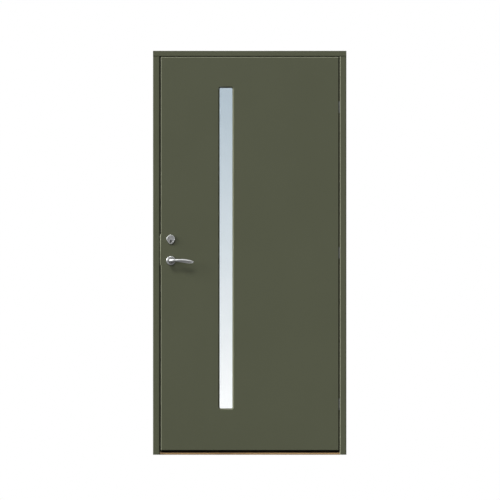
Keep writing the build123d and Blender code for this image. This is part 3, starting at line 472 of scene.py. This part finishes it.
lockPlaces = {"x": -406.5, "spindle": 1000.0, "key": 1098.0, "eggTop": 1111.0}

# Lever rose: rounded rim, a narrow land, a dished groove and the sleeve the lever's neck turns in
roseShape = {
    "profile": [(10.0, 33.0), (23.5, 33.0), (23.5, 38.6), (23.2, 39.8), (22.5, 40.9), (21.5, 41.6),
                (20.4, 41.9), (19.2, 41.7), (18.2, 41.1), (17.5, 40.2), (16.8, 38.6), (15.9, 37.7),
                (14.6, 37.4), (12.6, 37.4), (12.2, 37.9), (11.6, 38.2), (10.4, 38.2), (10.0, 37.8)],
}


def makeRose(name, side, nodes):
    rose = turnPiece(name, lockPlaces["x"], lockPlaces["spindle"], side, roseShape["profile"], closed=True)
    return finishPiece(rose, satinSteel, "leaf", nodes, angle=40)


makeRose("outerLeverRose", -1, ["outer_rose"])
makeRose("innerLeverRose", 1, ["inner_rose"])
print("lever roses")


# Levers: a flared neck, a tight elbow and a blade that thins, drops and leans towards its tip
leverShape = {
    "sides": 16, "stepFrom": 35, "stepTo": 115, "facetSpan": 6, "creaseFoot": 1.0, "smoothing": 3,
    "neck": [(9.6, 33.4), (9.6, 40.0), (10.0, 48.0), (11.2, 58.0), (12.8, 67.5)],   # radius, y
    "elbowRadius": 14.5, "elbowSteps": 6, "elbowThick": 9.6,
    # along, rise, height, thickness, lean, y
    "blade": [
        (22, 1.4, 15.6, 13.4, -1, 82.6), (31, 1.0, 15.6, 12.2, -2, 83.2), (42, 0.4, 16.6, 11.2, -4, 83.8),
        (56, -0.7, 18.6, 10.4, -4, 84.0), (70, -2.2, 20.2, 9.6, -4, 83.8), (84, -4.0, 20.4, 8.6, -4, 83.3),
        (96, -5.8, 18.4, 7.6, -4, 82.7), (106, -6.9, 14.6, 6.4, -4, 82.0), (113, -7.3, 10.6, 5.2, -4, 81.5),
        (117.5, -7.2, 6.8, 4.0, -4, 81.2), (119, -7.1, 3.6, 2.6, -4, 81.0),
    ],
    # angle round the section, and how far that line of points is moved in y and z
    "facets": [(22.5, -0.4, -0.3), (45, -0.3, -0.9), (67.5, -0.6, -0.7), (90, -1.2, 0.0),
               (-67.5, 1.7, 0.1), (-45, 2.5, 0.2), (-22.5, 2.3, 0.1), (0, 1.3, 0.0)],
    "creases": [(90, 0.5), (22.5, 0.9)],
}


def ringAngle(point):
    # a blade point's angle round its own section: 0 at the front, 90 at the top; None off the blade
    for along, rise, height, thickness, lean, reach in leverShape["blade"]:
        if near(point.x, mm(lockPlaces["x"] + along), 1e-5):
            forward = mm(-reach) - point.y
            up = point.z - mm(lockPlaces["spindle"] + rise)
            tilt = math.radians(lean)
            level = forward * math.cos(tilt) - up * math.sin(tilt)
            raised = forward * math.sin(tilt) + up * math.cos(tilt)
            return along, math.degrees(math.atan2(raised / height, level / thickness))
    return None


def facetBlade(lever):
    # flattens the blade's upper front into one bright facet and sets its lower front back under a
    # crisp edge
    def onLine(point, angle):
        place = ringAngle(point)
        return (place is not None and leverShape["stepFrom"] < place[0] < leverShape["stepTo"]
                and near(place[1], angle, leverShape["facetSpan"]))

    picks = [(angle, value, None) for angle, value in leverShape["creases"]]
    picks += [(angle, None, (across, up)) for angle, across, up in leverShape["facets"]]
    for angle, crease, move in picks:
        pickEdges(lever, lambda a, b: onLine(a, angle) and onLine(b, angle))
        if crease is not None:
            bpy.ops.transform.edge_crease(value=crease)
        else:
            bpy.ops.transform.translate(value=mm(0, *move))


def makeLever():
    x, z = lockPlaces["x"], lockPlaces["spindle"]
    clearSelection()
    radius, reach = leverShape["neck"][0]
    bpy.ops.mesh.primitive_circle_add(vertices=leverShape["sides"], radius=mm(radius),
                                      rotation=alongY, location=mm(x, -reach, z))
    lever = bpy.context.object
    lever.name = "outerLever"
    applyPlace()
    editAll()
    bpy.ops.mesh.edge_face_add()
    for nextRadius, nextReach in leverShape["neck"][1:]:
        bpy.ops.mesh.extrude_region_move(TRANSFORM_OT_translate={"value": mm(0, reach - nextReach, 0)})
        scale = nextRadius / radius
        bpy.ops.transform.resize(value=(scale, 1, scale), center_override=mm(x, -nextReach, z))
        radius, reach = nextRadius, nextReach
    # the elbow: each copy of the end turns about an upright line beside the neck
    steps = leverShape["elbowSteps"]
    pivot = mm(x + leverShape["elbowRadius"], -reach, z)
    thin = (leverShape["elbowThick"] / radius) ** (1 / steps)
    for step in range(steps):
        bpy.ops.mesh.extrude_region_move(TRANSFORM_OT_translate={"value": (0, 0, 0)})
        bpy.ops.transform.rotate(value=math.radians(-90 / steps), orient_axis="Z", center_override=pivot)
        turned = math.radians(90 * (step + 1) / steps)
        centre = (pivot[0] - mm(leverShape["elbowRadius"]) * math.cos(turned),
                  pivot[1] - mm(leverShape["elbowRadius"]) * math.sin(turned), pivot[2])
        bpy.ops.transform.resize(value=(thin, thin, thin), center_override=centre)
    # the blade: each copy of the end is moved, levelled, sized and leaned again
    along, rise, lean, reach = leverShape["elbowRadius"], 0.0, 0.0, reach + leverShape["elbowRadius"]
    height = thickness = 2 * leverShape["elbowThick"]
    for nextAlong, nextRise, nextHeight, nextThickness, nextLean, nextReach in leverShape["blade"]:
        bpy.ops.mesh.extrude_region_move(TRANSFORM_OT_translate={
            "value": mm(nextAlong - along, reach - nextReach, nextRise - rise)})
        centre = mm(x + nextAlong, -nextReach, z + nextRise)
        bpy.ops.transform.rotate(value=math.radians(lean), orient_axis="X", center_override=centre)
        bpy.ops.transform.resize(value=(1, nextThickness / thickness, nextHeight / height),
                                 center_override=centre)
        bpy.ops.transform.rotate(value=math.radians(-nextLean), orient_axis="X", center_override=centre)
        along, rise, height, thickness = nextAlong, nextRise, nextHeight, nextThickness
        lean, reach = nextLean, nextReach
    bpy.ops.mesh.select_all(action="SELECT")
    bpy.ops.mesh.normals_make_consistent(inside=False)
    facetBlade(lever)
    # the neck's foot stays sharp under the subdivision
    foot = mm(-leverShape["neck"][0][1])
    pickEdges(lever, lambda a, b: near(a.y, foot) and near(b.y, foot))
    bpy.ops.transform.edge_crease(value=leverShape["creaseFoot"])
    bpy.ops.object.mode_set(mode="OBJECT")
    smooth = lever.modifiers.new("smooth", "SUBSURF")
    smooth.levels = smooth.render_levels = leverShape["smoothing"]
    bpy.ops.object.modifier_apply(modifier="smooth")
    return lever


def mirrorPiece(piece, name):
    # the same piece on the other side of the leaf, with its own mesh
    selectOnly(piece)
    bpy.ops.object.duplicate()
    twin = bpy.context.object
    twin.name = name
    twin.scale = (1, -1, 1)
    applyPlace()
    editAll()
    bpy.ops.mesh.normals_make_consistent(inside=False)
    bpy.ops.object.mode_set(mode="OBJECT")
    return twin


outerLever = makeLever()
innerLever = mirrorPiece(outerLever, "innerLever")
finishPiece(outerLever, satinSteel, "lever", ["outer_lever"], angle=60)
finishPiece(innerLever, satinSteel, "lever", ["inner_lever"], angle=60)
print("levers")


def eggBlock(name, upperRadius, lowerRadius, near, far):
    # two discs, one above the other, wrapped in one closed egg-shaped block from y near to y far
    clearSelection()
    discs = []
    for radius, z in ((lowerRadius, lockPlaces["key"]), (upperRadius, lockPlaces["eggTop"])):
        bpy.ops.mesh.primitive_cylinder_add(vertices=96, radius=mm(radius), depth=mm(abs(far - near)),
                                            rotation=alongY,
                                            location=mm(lockPlaces["x"], (near + far) / 2, z))
        discs.append(bpy.context.object)
    for disc in discs:
        disc.select_set(True)
    applyPlace()
    bpy.ops.object.join()
    block = bpy.context.object
    block.name = name
    editAll()
    bpy.ops.mesh.convex_hull()
    bpy.ops.mesh.select_all(action="SELECT")
    bpy.ops.mesh.remove_doubles(threshold=1e-6)
    bpy.ops.mesh.dissolve_limited(angle_limit=math.radians(0.5))
    bpy.ops.mesh.select_all(action="SELECT")
    bpy.ops.mesh.normals_make_consistent(inside=False)
    bpy.ops.object.mode_set(mode="OBJECT")
    return block


def cutWith(piece, cutter):
    # takes the cutter's shape out of the piece and throws the cutter away
    selectOnly(piece)
    cut = piece.modifiers.new("cut", "BOOLEAN")
    cut.object = cutter
    cut.operation = "DIFFERENCE"
    cut.solver = "EXACT"
    bpy.ops.object.modifier_apply(modifier="cut")
    bpy.data.objects.remove(cutter)


def drillHole(piece, radius, y, depth):
    # a round hole on the key's axis, its middle at y
    clearSelection()
    bpy.ops.mesh.primitive_cylinder_add(vertices=96, radius=mm(radius), depth=mm(depth), rotation=alongY,
                                        location=mm(lockPlaces["x"], y, lockPlaces["key"]))
    hole = bpy.context.object
    applyPlace()
    cutWith(piece, hole)


def roundRim(piece, y, inside, offset, segments):
    # rounds the rim that lies in the plane at y, on the outer or on the inner outline
    limit = mm(eggShape["ring"]) * 0.5
    x, upper, lower = mm(lockPlaces["x"]), mm(lockPlaces["eggTop"]), mm(lockPlaces["key"])

    def depthInside(point):
        # how far the point lies inside the outer outline
        fromUpper = mm(eggShape["upper"]) - math.hypot(point.x - x, point.z - upper)
        fromLower = mm(eggShape["lower"]) - math.hypot(point.x - x, point.z - lower)
        return max(fromUpper, fromLower)

    pickEdges(piece, lambda a, b: near(a.y, mm(y)) and near(b.y, mm(y))
              and (min(depthInside(a), depthInside(b)) > limit) == inside
              and (max(depthInside(a), depthInside(b)) > limit) == inside)
    bpy.ops.mesh.bevel(offset=mm(offset), segments=segments, affect="EDGES", clamp_overlap=True)
    bpy.ops.object.mode_set(mode="OBJECT")


# Key cylinder: egg-shaped ring with rounded rims, sunk housing with a turned groove, and the plug
eggShape = {
    "upper": 21.6, "lower": 13.7, "ring": 4.6, "back": -33.0, "face": -43.0, "cutBack": -30.0,
    "cutFace": -46.0, "outerRound": 2.6, "outerSteps": 5, "innerRound": 1.0, "innerSteps": 3,
}


def makeCylinderRing():
    ring = eggBlock("cylinderRing", eggShape["upper"], eggShape["lower"], eggShape["back"],
                    eggShape["face"])
    cutWith(ring, eggBlock("ringCutter", eggShape["upper"] - eggShape["ring"],
                           eggShape["lower"] - eggShape["ring"], eggShape["cutBack"], eggShape["cutFace"]))
    roundRim(ring, eggShape["face"], False, eggShape["outerRound"], eggShape["outerSteps"])
    roundRim(ring, eggShape["face"], True, eggShape["innerRound"], eggShape["innerSteps"])
    return finishPiece(ring, satinSteel, "leaf", ["cylinder_ring"], angle=40)


housingShape = {
    "play": 0.1, "face": -41.2, "back": -10.0, "grooveRadius": 12.4, "grooveWire": 0.5, "plugHole": 7.9,
    "holeDepth": 60,
}


def makeCylinderHousing():
    inset = eggShape["ring"] + housingShape["play"]
    housing = eggBlock("cylinderHousing", eggShape["upper"] - inset, eggShape["lower"] - inset,
                       housingShape["face"], housingShape["back"])
    clearSelection()
    bpy.ops.mesh.primitive_torus_add(
        major_radius=mm(housingShape["grooveRadius"]), minor_radius=mm(housingShape["grooveWire"]),
        major_segments=96, minor_segments=12, rotation=alongY,
        location=mm(lockPlaces["x"], housingShape["face"], lockPlaces["eggTop"]))
    groove = bpy.context.object
    applyPlace()
    cutWith(housing, groove)
    drillHole(housing, housingShape["plugHole"], housingShape["face"], housingShape["holeDepth"])
    return finishPiece(housing, satinSteelFaced, "leaf", ["cylinder_housing"], angle=30)


plugShape = {
    "profile": [(7.6, 12.0), (7.6, 41.4), (7.4, 42.0), (6.9, 42.4), (6.2, 42.4), (5.6, 42.0),
                (4.9, 40.6), (4.3, 39.2), (3.4, 38.6), (1.2, 38.6)],
    # width, depth, height, and how far it lies from the axis in x and z
    "slots": [(2.8, 16.0, 7.6, 0.0, 0.0), (1.3, 16.0, 2.2, 1.3, -1.2)],
    "slotMiddle": -40.0, "slotRound": 0.35,
}


def makeKeyPlug():
    x, key = lockPlaces["x"], lockPlaces["key"]
    plug = turnPiece("keyPlug", x, key, -1, plugShape["profile"], sides=64)
    for width, depth, height, shift, rise in plugShape["slots"]:
        slot = addBlock(mm(x + shift, plugShape["slotMiddle"], key + rise), mm(width, depth, height))
        editAll()
        bpy.ops.mesh.bevel(offset=mm(plugShape["slotRound"]), segments=2, affect="EDGES")
        bpy.ops.object.mode_set(mode="OBJECT")
        cutWith(plug, slot)
    return finishPiece(plug, nickelBrass, "plug", ["key_plug"], angle=30)


makeCylinderRing()
makeCylinderHousing()
makeKeyPlug()
print("key cylinder")


# Pry guard: a folded steel strip over the lock gap, lacquered with the leaf, its front edge rounded
guardShape = {"round": 4.2, "segments": 6, "endRound": 0.5}


def makePryGuard():
    low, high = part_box("pry_guard")
    guard = addBlock((low + high) / 2, high - low)
    guard.name = "pryGuard"
    pickEdges(guard, lambda a, b: max(a.y, b.y) < low.y + 1e-5 and max(a.x, b.x) < low.x + 1e-5)
    bpy.ops.mesh.bevel(offset=mm(guardShape["round"]), segments=guardShape["segments"], affect="EDGES")
    pickFaces(guard, lambda centre, normal: abs(normal.z) > 0.9)
    bpy.ops.mesh.bevel(offset=mm(guardShape["endRound"]), segments=2, affect="EDGES")
    return finishPiece(guard, boardLacquer, "leaf", ["pry_guard"], angle=40)


makePryGuard()
print("pry guard")


# Inside: the thumbturn's egg-shaped rose, its turned collar and the rounded wing
thumbShape = {
    "roseBack": 33.0, "roseFace": 41.0, "roseRound": 2.4, "roseSteps": 5, "hole": (9.6, 37, 30),
    "collar": [(9.2, 33.4), (9.2, 41.4), (12.2, 41.4), (12.6, 41.8), (12.6, 45.2), (12.2, 46.4),
               (11.2, 47.4), (9.6, 48.0), (5.0, 48.2)],
    "wing": (8.4, 15.0, 34.0), "wingCentre": 52.4, "wingTip": 0.62, "wingNose": (0.82, 1, 0.94),
    "wingRound": 2.2, "wingSteps": 5, "wingSharp": 50,
}


def makeThumbturnRose():
    rose = eggBlock("thumbturnRose", eggShape["upper"], eggShape["lower"], thumbShape["roseBack"],
                    thumbShape["roseFace"])
    drillHole(rose, *thumbShape["hole"])
    roundRim(rose, thumbShape["roseFace"], False, thumbShape["roseRound"], thumbShape["roseSteps"])
    return finishPiece(rose, satinSteel, "leaf", ["thumbturn_rose"], angle=40)


def makeThumbturn():
    x, key = lockPlaces["x"], lockPlaces["key"]
    centre = mm(x, thumbShape["wingCentre"], key)
    collar = turnPiece("thumbturnCollar", x, key, 1, thumbShape["collar"])
    wing = addBlock(centre, mm(*thumbShape["wing"]))
    editAll()
    bpy.ops.mesh.subdivide(number_cuts=3)
    for side in (1, -1):
        # both ends grow thinner, and the grip a little narrower towards its nose
        pickFaces(wing, lambda middle, normal: side * normal.z > 0.9)
        bpy.ops.transform.resize(value=(thumbShape["wingTip"], 1, 1), center_override=centre)
    pickFaces(wing, lambda middle, normal: normal.y > 0.9)
    bpy.ops.transform.resize(value=thumbShape["wingNose"], center_override=centre)
    bpy.ops.object.mode_set(mode="OBJECT")
    rounded = wing.modifiers.new("rounded", "BEVEL")
    rounded.width = mm(thumbShape["wingRound"])
    rounded.segments = thumbShape["wingSteps"]
    rounded.limit_method = "ANGLE"
    rounded.angle_limit = math.radians(thumbShape["wingSharp"])
    bpy.ops.object.modifier_apply(modifier="rounded")
    selectOnly(collar, wing)
    bpy.ops.object.join()
    collar.name = "thumbturnKnob"
    return finishPiece(collar, satinSteel, "thumbturn", ["thumbturn"], angle=35)


makeThumbturnRose()
makeThumbturn()
print("thumbturn")


# Countersunk screws with a six-lobe recess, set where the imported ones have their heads
screwShape = {
    "sides": 24, "tip": 0.3, "point": 2.4, "rim": 0.5, "rimRound": (0.15, 0.1), "turnStep": 0.7,
    "recess": 0.52, "recessFloor": 0.94, "recessDepth": 0.8, "lobe": 0.74,   # shares of the head's radius
    "short": (4.2, 2.2, 28), "long": (5.0, 2.5, 80),   # radii of head and shank, length
}


def makeScrew(name, headRadius, shankRadius, length):
    # a screw along +Y with its head's face in the XZ plane
    inward, down = screwShape["rimRound"]
    recessRadius = headRadius * screwShape["recess"]
    profile = [(screwShape["tip"], length), (shankRadius, length - screwShape["point"]),
               (shankRadius, headRadius - shankRadius + screwShape["rim"]), (headRadius, screwShape["rim"]),
               (headRadius, down), (headRadius - inward, 0.0), (recessRadius, 0.0),
               (recessRadius * screwShape["recessFloor"], headRadius * screwShape["recessDepth"])]
    screw = turnPiece(name, 0, 0, 1, profile, sides=screwShape["sides"])
    step = 360 / screwShape["sides"]
    recess = mm(recessRadius) * 1.02

    def onLobe(point):
        turn = math.degrees(math.atan2(point.z, point.x)) % 60
        return (math.hypot(point.x, point.z) < recess and point.y < mm(length) / 2
                and near(turn, 30, step * 0.6))

    pickEdges(screw, lambda a, b: onLobe(a) and onLobe(b))
    bpy.ops.transform.resize(value=(screwShape["lobe"], 1, screwShape["lobe"]), center_override=(0, 0, 0))
    bpy.ops.object.mode_set(mode="OBJECT")
    return screw


def headPlaces(node, axis, sign):
    # centres of the screw heads that lie in the node's outermost plane on this axis
    spots = [vertex.co for vertex in cadNodes[node].data.vertices]
    edge = max(sign * spot[axis] for spot in spots)
    heads = []
    for spot in spots:
        if sign * spot[axis] < edge - 1e-5:
            continue
        for head in heads:
            if (head[0] - spot).length < mm(12):
                head.append(spot)
                break
        else:
            heads.append([spot])
    return [sum(head, Vector()) / len(head) for head in heads]


def placeScrews(name, node, body, sides, size):
    # one screw is modelled and copied to every head, each copy with its own mesh, then joined
    pattern = makeScrew(name, *screwShape[size])
    copies = []
    for axis, sign in sides:
        outward = Vector([sign if i == axis else 0 for i in range(3)])
        for turn, place in enumerate(headPlaces(node, axis, sign)):
            selectOnly(pattern)
            bpy.ops.object.duplicate()
            screw = bpy.context.object
            spin = Quaternion((0, 1, 0), turn * screwShape["turnStep"])
            screw.rotation_euler = (outward.to_track_quat("-Y", "Z") @ spin).to_euler()
            screw.location = place
            applyPlace()
            copies.append(screw)
    bpy.data.objects.remove(pattern)
    selectOnly(*copies)
    bpy.ops.object.join()
    group = bpy.context.object
    group.name = name
    return finishPiece(group, zincSteel, body, [node], angle=30)


# the axis and the sign of a side name the face that the heads lie in
placeScrews("hingeHousingScrews", "hinge_housing_screws", "frame", [(0, -1)], "short")
placeScrews("hingeArmScrews", "hinge_arm_screws", "leaf", [(0, 1)], "short")
placeScrews("strikeScrews", "strike_screws", "frame", [(0, 1)], "short")
placeScrews("faceplateScrews", "faceplate_screws", "leaf", [(0, -1)], "short")
placeScrews("cornerScrews", "corner_screws", "frame", [(2, 1)], "long")
placeScrews("thresholdScrews", "threshold_screws", "frame", [(0, -1), (0, 1)], "long")
print("screws")


# Painted shade: a dark rubber lip under the leaf, put there to darken the slit over the threshold; it clears
# the oak in every pose
lipShape = {
    "front": -27.0, "thick": 4.0, "hang": 6.0, "inset": 4.0, "tuck": 0.1, "taper": 0.4, "taperAt": -26.0,
    "round": 0.5,
}


def makeShadeLip():
    low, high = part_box("outer_skin")
    front, thick, hang = mm(lipShape["front"], lipShape["thick"], lipShape["hang"])
    lip = addBlock(((low.x + high.x) / 2, front + thick / 2, low.z - hang / 2 + mm(lipShape["tuck"])),
                   (high.x - low.x - mm(2 * lipShape["inset"]), thick, hang))
    lip.name = "shadeLip"
    # the lip tapers to its lower edge and bends a little inwards
    pickFaces(lip, lambda centre, normal: normal.z < -0.9)
    bpy.ops.transform.resize(value=(1, lipShape["taper"], 1), center_override=(0, mm(lipShape["taperAt"]), 0))
    bpy.ops.mesh.bevel(offset=mm(lipShape["round"]), segments=2, affect="EDGES")
    return finishPiece(lip, rubber, "leaf", [], angle=40)


makeShadeLip()
print("foot lip")


# Camera: square to the door from outside, orthographic, framed like the product shot
cameraSettings = {"pixels": 500, "pixelMm": 5.149, "centrePixel": 249.70, "footPixel": 454.76, "away": 4.0}


def addCamera():
    size = cameraSettings["pixelMm"] / 1000
    data = bpy.data.cameras.new("productCamera")
    data.type = "ORTHO"
    data.ortho_scale = cameraSettings["pixels"] * size
    data.clip_end = 40
    camera = bpy.data.objects.new("productCamera", data)
    bpy.context.scene.collection.objects.link(camera)
    middle = cameraSettings["pixels"] / 2
    camera.location = ((middle - cameraSettings["centrePixel"]) * size, -cameraSettings["away"],
                       (cameraSettings["footPixel"] - middle) * size)
    camera.rotation_euler = (math.radians(90), 0, 0)
    bpy.context.scene.camera = camera


# Light: a broad key from above and in front, fills from the left and from behind, and a pale room
lightSettings = {
    "roomStrength": 0.26,
    "key": {"towards": (-0.17, -0.69, 0.70), "strength": 1.8, "softness": 18},
    "fill": {"towards": (-0.89, -0.28, 0.36), "strength": 4.6, "softness": 36},
    "rear": {"towards": (0.42, 0.78, 0.46), "strength": 2.5, "softness": 50},
    "card": {"width": 12.0, "top": 2.6, "bottom": 0.9, "away": 5.0, "shade": "#e4e4e4"},
    "floor": {"size": 40, "drop": 0.0005, "seen": "#f2f2f2", "thrown": "#747474", "roughness": 0.9},
}


def addLights():
    for name in ("key", "fill", "rear"):
        settings = lightSettings[name]
        data = bpy.data.lights.new(name, "SUN")
        data.energy = settings["strength"]
        data.angle = math.radians(settings["softness"])
        lamp = bpy.data.objects.new(name, data)
        bpy.context.scene.collection.objects.link(lamp)
        lamp.rotation_euler = Vector(settings["towards"]).to_track_quat("Z", "Y").to_euler()
        lamp.visible_transmission = name != "rear"   # the glass keeps its daylight from the room behind
    world = bpy.data.worlds.new("paleRoom")
    bpy.context.scene.world = world
    world.use_nodes = True
    background = world.node_tree.nodes["Background"]
    background.inputs["Color"].default_value = (1, 1, 1, 1)
    path = addNode(world, "ShaderNodeLightPath")
    seen = addMath(world, "MAXIMUM", path.outputs["Is Camera Ray"], path.outputs["Is Glossy Ray"])
    seen = addMath(world, "MAXIMUM", seen, path.outputs["Is Transmission Ray"])
    strength = addNode(world, "ShaderNodeMapRange", None,
                       {"Value": seen, "To Min": lightSettings["roomStrength"], "To Max": 1.0})
    world.node_tree.links.new(strength.outputs["Result"], background.inputs["Strength"])


def addFloor():
    # pale to the eye and for its shadow, greyer for the light that it throws back
    settings = lightSettings["floor"]
    clearSelection()
    bpy.ops.mesh.primitive_plane_add(size=settings["size"], location=(0, 0, -settings["drop"]))
    floor = bpy.context.object
    floor.name = "studioFloor"
    material, shader = newMaterial("paleStudioFloor", Roughness=settings["roughness"])
    path = addNode(material, "ShaderNodeLightPath")
    seen = addMath(material, "MAXIMUM", path.outputs["Is Camera Ray"], path.outputs["Is Transmission Ray"])
    tone = addMix(material, seen, hexColor(settings["thrown"]), hexColor(settings["seen"]))
    join(material, tone, shader, "Base Color")
    floor.data.materials.append(material)


def addCard():
    # a grey card behind the camera, which only polished faces reflect
    settings = lightSettings["card"]
    clearSelection()
    middle = (settings["top"] + settings["bottom"]) / 2
    bpy.ops.mesh.primitive_plane_add(size=1, rotation=(math.radians(-90), 0, 0),
                                     location=(0, -settings["away"], middle))
    card = bpy.context.object
    card.name = "greyCard"
    card.scale = (settings["width"], settings["top"] - settings["bottom"], 1)
    applyPlace()
    material, _ = newMaterial("greyCardPaper", Roughness=1.0, Base_Color=hexColor("#000000"),
                              Emission_Color=hexColor(settings["shade"]), Emission_Strength=1.0)
    card.data.materials.append(material)
    card.visible_camera = card.visible_diffuse = card.visible_shadow = False
    card.visible_transmission = card.visible_volume_scatter = False


addCamera()
addLights()
addFloor()
addCard()
view = bpy.context.scene.view_settings
view.view_transform = "Standard"
print("camera, light and floor")
